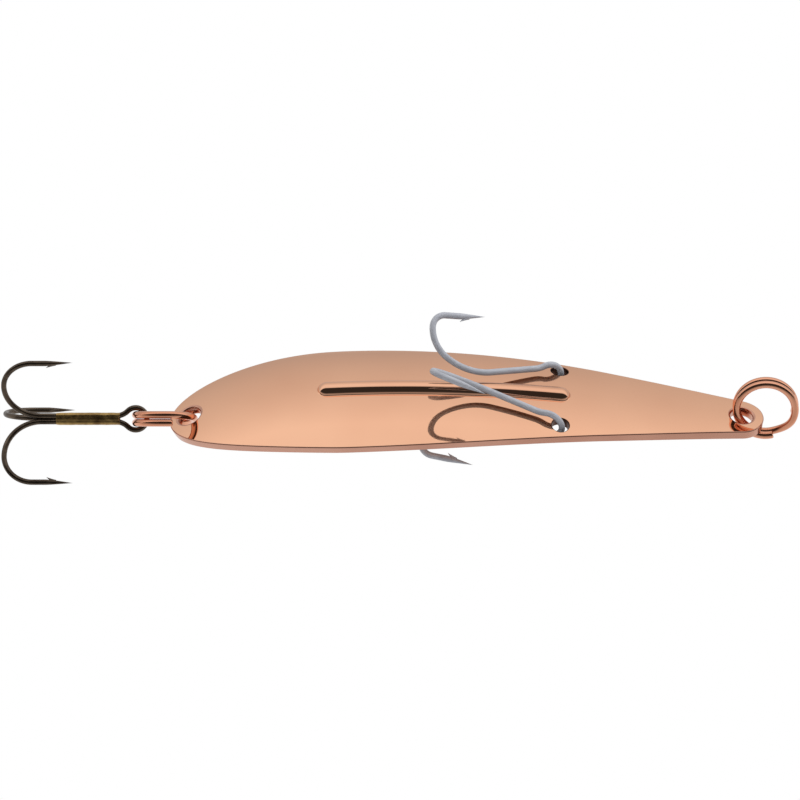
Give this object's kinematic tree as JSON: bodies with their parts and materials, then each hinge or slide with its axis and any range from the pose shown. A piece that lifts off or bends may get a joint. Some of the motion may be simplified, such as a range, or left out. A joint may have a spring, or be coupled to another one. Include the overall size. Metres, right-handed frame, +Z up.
{
  "type": "spoon lure",
  "caption": "Jigging spoon lure: a bowed, domed blade with a raised rib, hung from a split ring, with a hinged hook at each side hole and a treble hook on a second split ring.",
  "frame": {"origin": "inner top of the line-tie split ring, where the line pulls", "axes": "+Z up along the hanging lure, -Y the domed front of the blade, X across the blade"},
  "size_m": [0.0258, 0.024, 0.1374],
  "materials": {
    "blade": "copper plate, mirror polished",
    "split_ring": "copper plated, drawn wire",
    "side_hook": "bluish grey tin plate, satin",
    "treble": "bronzed, satin",
    "braze": "brazed, satin"
  },
  "bodies": {
    "line_ring": {"line_ring": "split_ring"},
    "blade": {"blade": "blade"},
    "tail_ring": {"tail_ring": "split_ring"},
    "treble": {"treble_pair": "treble", "treble_single": "treble", "treble_braze": "braze"},
    "upper_hook": {"upper_hook": "side_hook"},
    "lower_hook": {"lower_hook": "side_hook"}
  },
  "joints": [
    {"name": "blade_swing", "type": "hinge", "parent": "line_ring", "child": "blade", "pos_m": [0, 0, -0.0044], "axis": [0.9848, -0.1736, 0], "range_deg": [-90, 90]},
    {"name": "tail_ring_swing", "type": "hinge", "parent": "blade", "child": "tail_ring", "pos_m": [0.00038, 0.00213, -0.10294], "axis": [0.766, -0.6428, 0], "range_deg": [-10, 30]},
    {"name": "treble_swing", "type": "hinge", "parent": "tail_ring", "child": "treble", "pos_m": [0.00038, 0.00213, -0.11304], "axis": [0.766, -0.6428, 0], "range_deg": [-80, 80]},
    {"name": "upper_hook_swing", "type": "hinge", "parent": "blade", "child": "upper_hook", "pos_m": [-0.00665, -0.0017, -0.03998], "axis": [0.1465, 0.9827, -0.1132], "range_deg": [0, 130]},
    {"name": "lower_hook_swing", "type": "hinge", "parent": "blade", "child": "lower_hook", "pos_m": [0.00741, -0.0017, -0.03998], "axis": [0.1465, -0.9827, 0.1132], "range_deg": [0, 130]}
  ]
}
